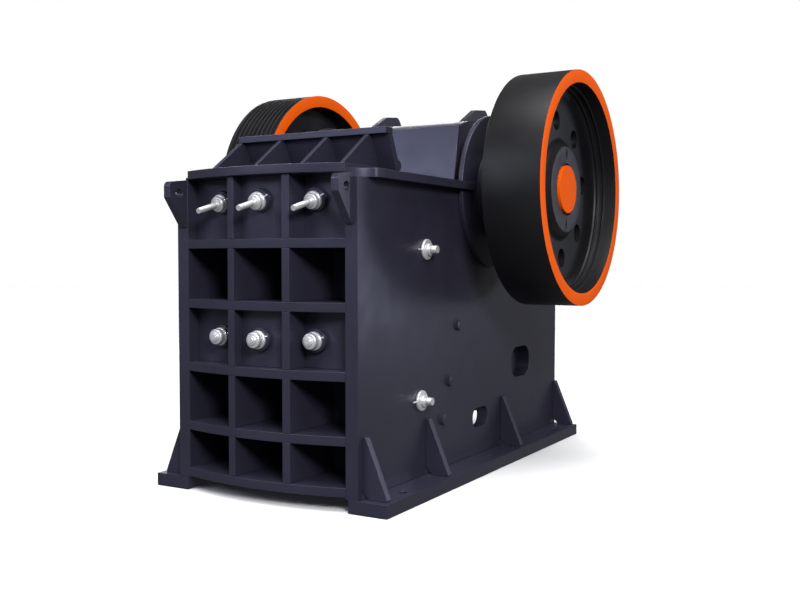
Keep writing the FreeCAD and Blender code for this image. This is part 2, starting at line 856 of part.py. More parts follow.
def wheel_holes(name, span):
    """The ring of lightening holes through a wheel's web."""
    holes = []
    for number in range(WEB_HOLES):
        angle = "(%d * 360 / %d + web_hole_turn)" % (number, WEB_HOLES)
        places = ("%s + web_hole_circle * cos(%s)" % (SHAFT_Y, angle),
                  "shaft_level + web_hole_circle * sin(%s)" % angle)
        holes.append(rod("%s_%d" % (name, number), "x", "web_hole_radius", span, places))
    return fuse(name, holes)


def flywheel():
    """The flywheel: a wide rim, a plain web and a proud hub."""
    low, high = "flywheel_place", "flywheel_place + flywheel_width"
    web_low = "flywheel_place + flywheel_web_place"
    web_high = web_low + " + flywheel_web_thick"
    hub_face = "flywheel_place + flywheel_hub_face"
    points = [
        (low, "wheel_seat_radius"),
        (hub_face, "wheel_seat_radius"),
        (hub_face, "hub_radius"),
        (web_high, "hub_radius"),
        (web_high, "wheel_radius - rim_thick"),
        (high, "wheel_radius - rim_thick"),
        (high, "wheel_radius"),
        (low, "wheel_radius"),
        (low, "wheel_radius - rim_thick"),
        (web_low, "wheel_radius - rim_thick"),
        (web_low, "hub_radius"),
        (low, "hub_radius"),
    ]
    disc = lathe("flywheel_disc", points)
    node(cut("flywheel", disc, wheel_holes("flywheel_holes", (web_low + " - 1", web_high + " + 1"))),
         "flywheel")


def pulley():
    """The belt pulley: its V grooves, the web near mid width and a hub."""
    low, high = "-pulley_place - pulley_width", "-pulley_place"
    web_low = "-pulley_place - pulley_web_place"
    web_high = web_low + " + flywheel_web_thick"
    points = [
        (low + " + pulley_hub_setback", "wheel_seat_radius"),
        (high, "wheel_seat_radius"),
        (high, "hub_radius"),
        (web_high, "hub_radius"),
        (web_high, "pulley_radius - rim_thick"),
        (high, "pulley_radius - rim_thick"),
        (high, "pulley_radius"),
    ]
    pitch = "((pulley_width - 2 * groove_margin) / %d)" % GROOVES
    floor = "pulley_radius - groove_depth"
    for number in range(GROOVES):
        start = "%s - groove_margin - %d * %s" % (high, number, pitch)
        points.append((start, "pulley_radius"))
        for part, level in zip(GROOVE_FORM, (floor, floor, "pulley_radius")):
            points.append(("%s - %s * %s" % (start, part, pitch), level))
    points += [
        (low, "pulley_radius"),
        (low, "pulley_radius - rim_thick"),
        (web_low, "pulley_radius - rim_thick"),
        (web_low, "hub_radius"),
        (low + " + pulley_hub_setback", "hub_radius"),
    ]
    disc = lathe("pulley_disc", points)
    node(cut("pulley", disc, wheel_holes("pulley_holes", (web_low + " - 1", web_high + " + 1"))),
         "pulley")


# --------------------------------------------------------------- toggle end

def toggle_end():
    """The beam, the toggle plate, the rear wall and the tension rods."""
    beam_z = ("beam_level", "beam_level + beam_height")
    node(box("toggle_beam", ("-" + INNER, INNER),
             (along("beam_place"), along("beam_place + beam_depth")), beam_z), "toggle_beam")
    middle = "beam_level + beam_height / 2"
    toggle = [
        (along("jaw_seat_place + seat_gap"), "jaw_seat_level - toggle_thick / 2"),
        (along("beam_place"), middle + " - toggle_thick / 2"),
        (along("beam_place"), middle + " + toggle_thick / 2"),
        (along("jaw_seat_place + seat_gap"), "jaw_seat_level + toggle_thick / 2"),
    ]
    node(slab("toggle_plate", "YZ", toggle, "-toggle_width / 2", "toggle_width / 2"),
         "toggle_plate")
    wall_y = (along("frame_length - rear_wall_setback - rear_wall_thick"),
              along("frame_length - rear_wall_setback"))
    wall = box("rear_wall_blank", ("-" + INNER, INNER), wall_y, ("rear_wall_foot", "rear_wall_top"))
    hole = "tension_rod_radius + tension_rod_clearance"
    holes = [rod("rear_wall_hole_%d" % number, "y", hole, wall_y,
                 ("%d * tension_rod_place" % side, TENSION_LEVEL))
             for number, side in enumerate((1, -1), 1)]
    node(cut("rear_wall", wall, fuse("rear_wall_holes", holes)), "rear_wall")
    node(box("adjusting_shims", ("-shim_half_width", "shim_half_width"),
             (along("beam_place + beam_depth"), wall_y[0]),
             ("shim_level", "shim_level + shim_height")), "adjusting_shims")
    levels = ("rear_wall_foot", "rear_rib_level", "rear_wall_top - rib_thick")
    rib_y = (wall_y[1], along("frame_length - rear_rib_setback"))
    ribs = [box("rear_rib_%d" % number, ("-" + INNER, INNER), rib_y,
                (level, level + " + rib_thick"))
            for number, level in enumerate(levels, 1)]
    node(group("rear_ribs", ribs), "rear_ribs")


def tension_rods():
    """Two sprung rods that hold the swing jaw back against the toggle plate."""
    wall = along("frame_length - rear_wall_setback")
    spring_end = wall + " + spring_length"
    cup_end = spring_end + " + spring_cup_thick"
    rods, springs = [], []
    for number, side in enumerate((1, -1), 1):
        spot = ("%d * tension_rod_place" % side, TENSION_LEVEL)
        stem = rod("tension_stem_%d" % number, "y", "tension_rod_radius",
                   (TENSION_END + " + seat_gap", along("frame_length")), spot)
        cup = rod("tension_cup_%d" % number, "y", "spring_radius + spring_cup_rim",
                  (spring_end, cup_end), spot)
        nut = rod("tension_nut_%d" % number, "y", "tension_rod_radius + tension_nut_rim",
                  (cup_end, cup_end + " + tension_nut_height"), spot)
        rods.append(fuse("tension_rod_%d" % number, [stem, cup, nut]))
        coil = rod("tension_coil_%d" % number, "y", "spring_radius", (wall, spring_end), spot)
        core = rod("tension_core_%d" % number, "y",
                   "tension_rod_radius + tension_rod_clearance", (wall, spring_end), spot)
        springs.append(cut("tension_spring_%d" % number, coil, core))
    node(group("tension_rods", rods), "tension_rods")
    node(group("tension_springs", springs), "tension_springs")


def bolt(name, steps, place, rotation):
    """A tie bolt of stacked discs (radius, top), built along +Z and then laid over."""
    pieces = []
    low = "0"
    for number, (radius, high) in enumerate(steps, 1):
        pieces.append(rod("%s_step_%d" % (name, number), "z", radius, (low, high), ("0", "0")))
        low = high
    whole = fuse(name + "_whole", pieces)
    whole.Placement = FreeCAD.Placement(FreeCAD.Vector(), rotation)
    for way, text in zip("xyz", place):
        set_size(whole, "Placement.Base." + way, text)
    return whole


def front_tie_bolts(label, panels, level, reaches, places, lean):
    """Three tie bolts through one row of panels, which pull in the fixed jaw plate."""
    faces = ("side_panel_setback", "middle_panel_setback", "side_panel_setback")
    pieces = []
    for number, (place, reach, face) in enumerate(zip(places, reaches, faces), 1):
        name = "%s_%d" % (label, number)
        washer_top = "bolt_seat_thick + washer_thick"
        steps = [("bolt_seat_radius", "bolt_seat_thick"), ("washer_radius", washer_top),
                 ("nut_radius", washer_top + " + nut_height"), ("bolt_radius", reach)]
        whole = bolt(name, steps, (place, along(face), level),
                     FreeCAD.Rotation(FreeCAD.Vector(1, 0, 0), 90 + lean))
        pieces.append(cut(name, whole, panels))
    node(group(label, pieces), label)


def side_tie_bolts():
    """On each side plate, two silver tie bolts and three plain bolt heads."""
    silver = (("side_bolt_1_place", "side_bolt_1_level"),
              ("side_bolt_2_place", "side_bolt_2_level"))
    plain = (("head_1_place", "head_1_level"), ("head_2_place", "head_2_level"),
             ("head_3_place", "head_3_level"))
    nut_top = "side_washer_thick + side_nut_height"
    steps = [("side_washer_radius", "side_washer_thick"), ("side_nut_radius", nut_top),
             ("side_stud_radius", nut_top + " + side_stud_reach")]
    pieces = []
    for word, side in SIDES.items():
        for number, (place, level) in enumerate(silver, 1):
            name = "%s_side_bolt_%d" % (word, number)
            foot = OUTER if side > 0 else "-" + OUTER
            pieces.append(bolt(name, steps, (foot, along(place), level),
                               FreeCAD.Rotation(FreeCAD.Vector(0, 1, 0), 90 * side)))
        for number, (place, level) in enumerate(plain, 1):
            pieces.append(rod("%s_bolt_head_%d" % (word, number), "x", "head_bolt_radius",
                              across(side, OUTER, OUTER + " + head_height"),
                              (along(place), level)))
    node(group("side_bolts", pieces), "side_bolts")


def build():
    """Every sub-part in turn."""
    for word, side in SIDES.items():
        side_plate(word + "_side_plate", side)
        foot_plate(word + "_foot_plate", side)
        foot_gussets(word + "_foot_gussets", side)
        side_flange(word + "_side_flange", side)
        lifting_ear(word + "_lifting_ear", side)
        cheek_plate(word + "_cheek_plate", side)
    bearing_housing("right_bearing_housing", 1, "flywheel_place - flywheel_clearance")
    bearing_housing("left_bearing_housing", -1, "pulley_place - pulley_clearance")
    front_ribs()
    uprights()
    side_tie_bolts()
    upper = front_panels("upper_front_panels", "rib_5_level", "flange_level")
    lower = front_panels("lower_front_panels", "rib_3_level", "rib_4_level")
    front_tie_bolts("upper_tie_bolts", upper, "upper_bolt_level",
                    ["upper_bolt_reach_%d" % number for number in (1, 2, 3)],
                    ["upper_bolt_place_%d" % number for number in (1, 2, 3)], UPPER_BOLT_LEAN)
    front_tie_bolts("lower_tie_bolts", lower, "lower_bolt_level", ["lower_bolt_reach"] * 3,
                    ["lower_bolt_place_%d" % number for number in (1, 2, 3)], LOWER_BOLT_LEAN)
    front_wall()
    front_flange()
    guard()
    fixed_jaw_plate()
    swing_jaw_plate()
    swing_jaw()
    jaw_shield()
    jaw_lugs()
    shaft()
    flywheel()
    pulley()
    toggle_end()
    tension_rods()


def check_and_write():
    """Recomputes, refuses broken shapes and writes one STEP file a sub-part."""
    doc.recompute()
    broken = [item.Name for item in doc.Objects if {"Invalid", "Error"} & set(item.State)]
    bad = [item.Label for item in nodes if item.Shape.isNull() or not item.Shape.isValid()]
    if broken or bad:
        raise SystemExit("failed objects: %s; bad shapes: %s" % (broken, bad))
    os.makedirs("parts", exist_ok=True)
    for item in nodes:
        item.Shape.exportStep("parts/%s.step" % item.Label)
    print("wrote", len(nodes), "sub-parts")


build()
check_and_write()
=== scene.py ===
"""Looks for the jaw crusher: paint, bevelled plate edges, turned wheels, tie bolts and springs."""

import json
import math
from collections import namedtuple

import bmesh
import bpy
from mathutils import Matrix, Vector


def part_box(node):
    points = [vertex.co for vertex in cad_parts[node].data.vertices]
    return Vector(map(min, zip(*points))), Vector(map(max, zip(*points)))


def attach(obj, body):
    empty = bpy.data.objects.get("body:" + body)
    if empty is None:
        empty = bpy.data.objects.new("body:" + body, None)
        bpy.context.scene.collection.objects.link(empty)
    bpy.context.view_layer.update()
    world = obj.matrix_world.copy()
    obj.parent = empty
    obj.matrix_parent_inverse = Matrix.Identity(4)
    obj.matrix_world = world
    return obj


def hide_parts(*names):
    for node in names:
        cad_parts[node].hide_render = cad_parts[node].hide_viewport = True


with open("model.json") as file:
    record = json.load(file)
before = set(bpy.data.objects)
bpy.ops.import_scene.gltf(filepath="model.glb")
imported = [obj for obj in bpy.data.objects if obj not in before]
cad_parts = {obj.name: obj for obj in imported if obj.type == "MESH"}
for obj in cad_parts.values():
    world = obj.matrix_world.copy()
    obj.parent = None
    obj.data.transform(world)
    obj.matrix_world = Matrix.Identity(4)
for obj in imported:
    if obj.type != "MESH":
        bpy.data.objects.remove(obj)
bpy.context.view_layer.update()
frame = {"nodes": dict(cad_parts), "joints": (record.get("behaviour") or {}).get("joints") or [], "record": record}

NODES = frame["nodes"]
SLOTS = {row["node"]: row["material_slot"] for row in frame["record"]["subparts"]}
SHAFT = next(Vector(j["pos_m"]) for j in frame["joints"] if j["name"] == "rotor_spin")
X_AXIS, Y_AXIS = (1, 0, 0), (0, 1, 0)
WHITE = (1, 1, 1)


# ---------------------------------------------------------------- materials

NOISE_BAND = (0.3, 0.7)     # the part of a noise's range that is spread from 0 to 1
GLOSS_PATCHES = 7.0
DENT_WAVES = 3.2
GRAIN_STRENGTH = 0.6
DENT_STRENGTH = 0.5
LEAST_ROUGH = 0.02


def srgb(red, green, blue):
    """A linear colour from 0-255 display values."""
    return tuple(((c / 255 + 0.055) / 1.055) ** 2.4 if c > 10 else c / 255 / 12.92
                 for c in (red, green, blue)) + (1.0,)


def surface(name, colour, rough, metal=0.0, tone=0.12, tone_size=2.5, rough_spread=0.06,
            grain=300.0, grain_height=0.00012, dents=0.0, coat=0.0, coat_rough=0.08,
            specular=0.5, tint=(1.0, 1.0, 1.0, 1.0)):
    """A procedural surface: uneven tone and gloss, a fine grain and slow waves in the plate."""
    mat = bpy.data.materials.new(name)
    mat.use_nodes = True
    tree = mat.node_tree
    bsdf = tree.nodes["Principled BSDF"]
    bsdf.inputs["Metallic"].default_value = metal
    bsdf.inputs["Coat Weight"].default_value = coat
    bsdf.inputs["Coat Roughness"].default_value = coat_rough
    bsdf.inputs["Specular IOR Level"].default_value = specular
    bsdf.inputs["Specular Tint"].default_value = tint

    place = tree.nodes.new("ShaderNodeTexCoord")

    def noise(scale, detail, distortion=0.0):
        made = tree.nodes.new("ShaderNodeTexNoise")
        made.inputs["Scale"].default_value = scale
        made.inputs["Detail"].default_value = detail
        made.inputs["Distortion"].default_value = distortion
        tree.links.new(place.outputs["Object"], made.inputs["Vector"])
        return made.outputs["Fac"]

    def spread(value, low=0.0, high=1.0):
        made = tree.nodes.new("ShaderNodeMapRange")
        made.inputs["From Min"].default_value, made.inputs["From Max"].default_value = NOISE_BAND
        made.inputs["To Min"].default_value = low
        made.inputs["To Max"].default_value = high
        tree.links.new(value, made.inputs["Value"])
        return made.outputs["Result"]

    def bump(height, distance, strength):
        made = tree.nodes.new("ShaderNodeBump")
        made.inputs["Distance"].default_value = distance
        made.inputs["Strength"].default_value = strength
        tree.links.new(height, made.inputs["Height"])
        return made

    mix = tree.nodes.new("ShaderNodeMix")
    mix.data_type = "RGBA"
    mix.inputs["A"].default_value = tuple(c * (1 - tone) for c in colour[:3]) + (1.0,)
    mix.inputs["B"].default_value = tuple(min(1.0, c * (1 + tone)) for c in colour[:3]) + (1.0,)
    tree.links.new(spread(noise(tone_size, 4.0, 0.4)), mix.inputs["Factor"])
    tree.links.new(mix.outputs["Result"], bsdf.inputs["Base Color"])

    gloss = spread(noise(GLOSS_PATCHES, 5.0), max(LEAST_ROUGH, rough - rough_spread),
                   min(1.0, rough + rough_spread))
    tree.links.new(gloss, bsdf.inputs["Roughness"])

    fine = bump(noise(grain, 2.0), grain_height, GRAIN_STRENGTH)
    tree.links.new(fine.outputs["Normal"], bsdf.inputs["Normal"])
    if dents:
        waves = bump(noise(DENT_WAVES, 1.0), dents, DENT_STRENGTH)
        tree.links.new(waves.outputs["Normal"], fine.inputs["Normal"])
    return mat


PAINT = srgb(44, 43, 57)
PAINT_GLOSS = (0.72, 0.74, 1.0, 1.0)
MATERIALS = {
    "frame_paint": surface("frame_paint", PAINT, 0.34, tone=0.10, dents=0.0016,
                           grain=420.0, grain_height=0.00010, coat=0.12, coat_rough=0.18,
                           tint=PAINT_GLOSS),
    "cast_body": surface("cast_body", PAINT, 0.42, tone=0.12, grain=160.0,
                         grain_height=0.0007, coat=0.08, coat_rough=0.25, tint=PAINT_GLOSS),
    "wheel_paint": surface("wheel_paint", srgb(21, 21, 24), 0.42, tone=0.15,
                           grain=380.0, grain_height=0.00012, specular=0.3),
    "orange_enamel": surface("orange_enamel", srgb(255, 99, 8), 0.55, tone=0.04,
                             grain=380.0, grain_height=0.0001, specular=0.06),
    "bright_steel": surface("bright_steel", srgb(225, 225, 229), 0.36, metal=0.6, tone=0.08,
                            tone_size=30.0, grain=900.0, grain_height=0.00006),
    "manganese_steel": surface("manganese_steel", srgb(92, 90, 92), 0.48, metal=0.75, tone=0.25,
                               tone_size=9.0, grain=130.0, grain_height=0.0012),
    "dark_steel": surface("dark_steel", srgb(82, 82, 87), 0.46, metal=1.0, tone=0.2,
                          tone_size=20.0, grain=600.0, grain_height=0.0001),
}


# -------------------------------------------------------------- mesh helpers

ROUNDING_STEPS = 3
ROUNDING_SHARE = 0.45       # a rounded corner takes at most this much of the edges beside it
WELD = 1e-6

stood_for = set()


def stand(name, data):
    """Makes an object of some data and puts it in the scene."""
    made = bpy.data.objects.new(name, data)
    bpy.context.scene.collection.objects.link(made)
    return made


def adopt(name, mesh, body, slot, replaces=()):
    """Shows a mesh as a piece on a body, with the finish of a material slot."""
    piece = stand(name, mesh)
    mesh.materials.append(MATERIALS[slot])
    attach(piece, body)
    if replaces:
        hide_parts(*replaces)
        stood_for.update(replaces)
    return piece


def bake(piece):
    """Puts a piece's modifiers into its mesh."""
    bpy.context.view_layer.update()
    graph = bpy.context.evaluated_depsgraph_get()
    mesh = bpy.data.meshes.new_from_object(piece.evaluated_get(graph))
    piece.modifiers.clear()
    piece.data = mesh


def from_bmesh(name, bm):
    """A smooth-shaded mesh with its faces turned outwards. The bmesh is used up."""
    bmesh.ops.recalc_face_normals(bm, faces=bm.faces)
    mesh = bpy.data.meshes.new(name)
    bm.to_mesh(mesh)
    bm.free()
    for face in mesh.polygons:
        face.use_smooth = True
    return mesh


def sharpen(mesh, degrees=32):
    """Marks the edges that turn by more than this as sharp."""
    bm = bmesh.new()
    bm.from_mesh(mesh)
    for edge in bm.edges:
        if len(edge.link_faces) == 2 and edge.calc_face_angle(0) > math.radians(degrees):
            edge.smooth = False
    bm.to_mesh(mesh)
    bm.free()
    return mesh


def rounded_profile(points):
    """A profile whose corners (a, b, radius) are turned into short arcs."""
    out = []
    count = len(points)
    for i, point in enumerate(points):
        here = Vector(point[:2])
        radius = point[2] if len(point) > 2 else 0
        if not radius:
            out.append(here)
            continue
        back = Vector(points[i - 1][:2]) - here
        ahead = Vector(points[(i + 1) % count][:2]) - here
        reach = min(radius, ROUNDING_SHARE * back.length, ROUNDING_SHARE * ahead.length)
        start, end = here + back.normalized() * reach, here + ahead.normalized() * reach
        for k in range(ROUNDING_STEPS + 1):
            t = k / ROUNDING_STEPS
            out.append(start * (1 - t) ** 2 + here * 2 * t * (1 - t) + end * t ** 2)
    return out


def placer(origin, axis):
    """Gives a function from (radius, angle, along) about an axis to a point of the scene."""
    turn = Vector(axis).normalized().to_track_quat("Z", "Y").to_matrix()
    start = Vector(origin)

    def place(radius, angle, along):
        return start + turn @ Vector((radius * math.cos(angle), radius * math.sin(angle), along))

    return place


def round_angles(count):
    return [2 * math.pi * k / count for k in range(count)]


def bridge(bm, pairs):
    """Joins each pair of rings with a band of quads."""
    for one, two in pairs:
        for k in range(len(one)):
            j = (k + 1) % len(one)
            bm.faces.new([one[k], one[j], two[j], two[k]])


def lathe(bm, profile, origin, axis, segments):
    """Adds a turned solid: profile holds (along, radius) points, in order round its outline."""
    place = placer(origin, axis)
    rings = [[bm.verts.new(place(radius, angle, along)) for along, radius in profile]
             for angle in round_angles(segments)]
    size = len(profile)
    for k in range(segments):
        one, two = rings[k], rings[(k + 1) % segments]
        for i in range(size):
            j = (i + 1) % size
            if profile[i][1] < WELD and profile[j][1] < WELD:
                continue
            bm.faces.new([one[i], one[j], two[j], two[i]])
    bmesh.ops.remove_doubles(bm, verts=[v for ring in rings for v in ring], dist=WELD)


def turned(profile, origin, axis, segments, into=None):
    """A turned solid with the corners of its profile rounded, in a new bmesh or a given one."""
    bm = bmesh.new() if into is None else into
    lathe(bm, rounded_profile(profile), origin, axis, segments)
    return bm


HEX_SEGMENTS = 48
HEX_CHAMFER = 0.58          # drop at a corner over that corner's reach past the flats
HEX_FACE = 0.97             # radius of the flat end face over half the width across flats


def hexagon(bm, origin, axis, low, high, across, hole=0.0):
    """Adds a hexagonal nut or head, its corners chamfered as on a turned blank."""
    place = placer(origin, axis)
    corner = across / math.sqrt(3)
    flat = across / 2
    drop = (corner - flat) * HEX_CHAMFER
    angles = round_angles(HEX_SEGMENTS)
    rims = [flat / math.cos((angle + math.pi / 6) % (math.pi / 3) - math.pi / 6)
            for angle in angles]
    cuts = [(rim - flat) / (corner - flat) * drop for rim in rims]
    face = flat * HEX_FACE
    level = [0.0] * HEX_SEGMENTS
    outline = [([hole] * HEX_SEGMENTS, low, level), ([face] * HEX_SEGMENTS, low, level),
               (rims, low, cuts), (rims, high, [-cut for cut in cuts]),
               ([face] * HEX_SEGMENTS, high, level), ([hole] * HEX_SEGMENTS, high, level)]
    rings = [[bm.verts.new(place(radius, angle, along + rise))
              for radius, angle, rise in zip(radii, angles, rises)]
             for radii, along, rises in outline]
    bridge(bm, zip(rings, rings[1:] + rings[:1]))
    bmesh.ops.remove_doubles(bm, verts=[v for ring in rings for v in ring], dist=WELD)


THREAD_AROUND = 28
THREAD_ROWS = 4             # rows of vertices for each turn


def thread(bm, origin, axis, low, high, radius, pitch, depth):
    """Adds a threaded stud: one helical ridge, run out smoothly at both ends."""
    place = placer(origin, axis)
    rows = max(4, int((high - low) / pitch * THREAD_ROWS))
    angles = round_angles(THREAD_AROUND)
    grid = []
    for row in range(rows + 1):
        z = low + (high - low) * row / rows
        fade = max(0.0, min(1.0, (z - low) / pitch, (high - z) / pitch))
        ring = []
        for k, angle in enumerate(angles):
            phase = ((z / pitch) - k / THREAD_AROUND) % 1.0
            groove = abs(phase * 2 - 1)
            r = radius - depth * groove * fade - depth * (1 - fade)
            ring.append(bm.verts.new(place(r, angle, z)))
        grid.append(ring)
    bridge(bm, zip(grid, grid[1:]))
    for ring, z in ((grid[0], low), (grid[-1], high)):
        middle = bm.verts.new(place(0, 0, z))
        for k in range(THREAD_AROUND):
            bm.faces.new([ring[k], ring[(k + 1) % THREAD_AROUND], middle])


def tube(bm, path, radius, around):
    """Adds a round bar that follows a path, with flat ends."""
    rings = []
    last = len(path) - 1
    for i, spot in enumerate(path):
        place = placer(spot, path[min(i + 1, last)] - path[max(i - 1, 0)])
        rings.append([bm.verts.new(place(radius, angle, 0)) for angle in round_angles(around)])
    bridge(bm, zip(rings, rings[1:]))
    for ring in (rings[0], rings[-1]):
        bm.faces.new(ring)


# -------------------------------------------------- welded plates and castings

EDGES = {"manganese_steel": 0.004, "cast_body": 0.005, "frame_paint": 0.0028}
PLAIN_EDGE = 0.002
PLATE_WELD = 0.00002
FLAT_TURN = math.radians(0.4)   # faces that turn by less are merged
EDGE_TURN = math.radians(34)    # edges that turn by more are rounded


def dress(node, slot, edge):
    """Gives a CAD node its finish and softly rounded edges."""
    piece = NODES[node]
    piece.data.materials.clear()
    piece.data.materials.append(MATERIALS[slot])
    weld = piece.modifiers.new("weld", "WELD")
    weld.merge_threshold = PLATE_WELD
    flat = piece.modifiers.new("flat", "DECIMATE")
    flat.decimate_type = "DISSOLVE"
    flat.angle_limit = FLAT_TURN
    bevel = piece.modifiers.new("edges", "BEVEL")
    bevel.width = edge
    bevel.segments = 2
    bevel.limit_method = "ANGLE"
    bevel.angle_limit = EDGE_TURN
    bevel.use_clamp_overlap = True
    bevel.miter_outer = "MITER_SHARP"
    normal = piece.modifiers.new("normals", "WEIGHTED_NORMAL")
    normal.weight = 100


# --------------------------------------------------------------------- wheels

WHEEL_SEGMENTS = 160
DRILL_SEGMENTS = 40
DRILL_PAST = 0.010          # how far a drill runs past the faces that it cuts
RING_EDGE = 0.0008


def cut_holes(piece, places, radius, low, high):
    """Drills holes along X from low to high in a turned piece."""
    bm = bmesh.new()
    for y, z in places:
        lathe(bm, [(low, 0), (low, radius), (high, radius), (high, 0)], (0, y, z), X_AXIS,
              DRILL_SEGMENTS)
    tool = stand("drill", from_bmesh("drill", bm))
    drill = piece.modifiers.new("drill", "BOOLEAN")
    drill.object = tool
    drill.solver = "EXACT"
    bake(piece)
    bpy.data.objects.remove(tool)


def circle_of(count, radius, first):
    """Places (y, z) evenly round the shaft."""
    return [(SHAFT.y + radius * math.cos(first + 2 * math.pi * k / count),
             SHAFT.z + radius * math.sin(first + 2 * math.pi * k / count)) for k in range(count)]


def on_shaft(name, profile):
    return from_bmesh(name, turned(profile, (0, SHAFT.y, SHAFT.z), X_AXIS, WHEEL_SEGMENTS))


def wheel(name, profile, holes, node):
    """A turned and drilled wheel that stands for a CAD node."""
    piece = adopt(name, on_shaft(name, profile), "rotor", "wheel_paint", [node])
    for places, radius, low, high in holes:
        cut_holes(piece, places, radius, low, high)
    for face in piece.data.polygons:
        face.use_smooth = True
    sharpen(piece.data)


def ring(name, slot, low, high, inner, outer):
    """A thin turned ring, for the painted and machined faces of the wheels."""
    edge = min(RING_EDGE, (high - low) * ROUNDING_SHARE)
    mesh = on_shaft(name, [(low, inner, edge), (high, inner, edge), (high, outer, edge),
                           (low, outer, edge)])
    return adopt(name, sharpen(mesh), "rotor", slot)


RIM = 0.070                 # from the outside of a wheel to its dish
COAT = 0.0012               # thickness of a painted or machined face
WEB_THICK = 0.070
HUB_R = 0.265
HUB_DISC_R = 0.243
SEAT_R = 0.135              # radius of the shaft's seat
BORE_R = SEAT_R + 0.004
HOLE_COUNT = 8
HOLE_CIRCLE = 0.392
HOLE_R = 0.055
HOLE_TURN = math.radians(7)
WEB_HOLES = circle_of(HOLE_COUNT, HOLE_CIRCLE, HOLE_TURN)
TAP_R = 0.011
TAP_DEPTH = 0.035
TAP_PLACE = 0.205
HUB_TAPS = [(SHAFT.y, SHAFT.z + TAP_PLACE), (SHAFT.y, SHAFT.z - TAP_PLACE)]

low_corner, high_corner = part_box("flywheel")
FLY_LOW, FLY_HIGH = low_corner.x, high_corner.x
FLY_R = high_corner.z - SHAFT.z
FLY_DISH_R = FLY_R - RIM
WEB = FLY_LOW + 0.110
WEB_FACE = WEB + WEB_THICK
HUB_FACE = FLY_LOW + 0.225
RECESS = HUB_FACE - 0.010   # bottom of the step round the shaft's end


def dish_groove(start, before, deep, after):
    """A shallow groove in the flywheel's dish: its start from the face, then three depths."""
    return [(FLY_HIGH - start, FLY_DISH_R - before, 0.002),
            (FLY_HIGH - (start + 0.004), FLY_DISH_R - deep, 0.002),
            (FLY_HIGH - (start + 0.010), FLY_DISH_R - deep, 0.002),
            (FLY_HIGH - (start + 0.014), FLY_DISH_R - after, 0.002)]


# Each corner is (along the shaft, radius, rounding), from the bore outwards and back.
flywheel_profile = [
    (FLY_LOW, BORE_R, 0.002), (FLY_LOW, HUB_R - 0.03, 0.006), (FLY_LOW + 0.05, HUB_R, 0.01),
    (WEB, HUB_R + 0.02, 0.02), (WEB, FLY_DISH_R - 0.03, 0.02), (WEB - 0.03, FLY_DISH_R, 0.012),
    (FLY_LOW, FLY_DISH_R, 0.004), (FLY_LOW, FLY_R, 0.004),
    (FLY_HIGH - COAT, FLY_R, 0.0015), (FLY_HIGH - COAT, FLY_DISH_R, 0.0015),
    *dish_groove(0.070, 0.003, 0.010, 0.004), *dish_groove(0.108, 0.008, 0.015, 0.009),
    (WEB_FACE + 0.012, FLY_DISH_R - 0.014, 0.004), (WEB_FACE, FLY_DISH_R - 0.045, 0.025),
    (WEB_FACE, HUB_R + 0.022, 0.016), (HUB_FACE - 0.022, HUB_R + 0.004, 0.006),
    (HUB_FACE, HUB_DISC_R, 0.003), (HUB_FACE, SEAT_R + 0.012, 0.002),
    (RECESS, SEAT_R + 0.010, 0.002), (RECESS, BORE_R, 0.002),
]
wheel("flywheel_turned", flywheel_profile,
      [(WEB_HOLES, HOLE_R, WEB - DRILL_PAST, WEB_FACE + DRILL_PAST),
       (HUB_TAPS, TAP_R, HUB_FACE - TAP_DEPTH, HUB_FACE + DRILL_PAST)], "flywheel")
hub_face = ring("flywheel_hub_face", "dark_steel", HUB_FACE, HUB_FACE + COAT, SEAT_R + 0.014,
                HUB_DISC_R - 0.003)
cut_holes(hub_face, HUB_TAPS, TAP_R, HUB_FACE - DRILL_PAST, HUB_FACE + DRILL_PAST)
ring("flywheel_rim_face", "orange_enamel", FLY_HIGH - COAT, FLY_HIGH, FLY_DISH_R, FLY_R)

low_corner, high_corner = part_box("pulley")
PUL_LOW, PUL_HIGH = low_corner.x, high_corner.x
PUL_R = high_corner.z - SHAFT.z
PUL_DISH_R = PUL_R - RIM
PUL_WEB = PUL_HIGH - 0.200
PUL_WEB_FACE = PUL_WEB + WEB_THICK
PUL_HUB_FACE = PUL_LOW + 0.040
PUL_RECESS = PUL_LOW + 0.052

GROOVES = 9
GROOVE_MARGIN = 0.015       # plain rim at each side of the grooves
GROOVE_DEPTH = 0.021
GROOVE_SHAPE = ((0.0, 0.0, 0.0015), (0.26, GROOVE_DEPTH, 0.002), (0.54, GROOVE_DEPTH, 0.002),
                (0.80, 0.0, 0.0015))
PITCH = (PUL_HIGH - PUL_LOW - 2 * GROOVE_MARGIN) / GROOVES

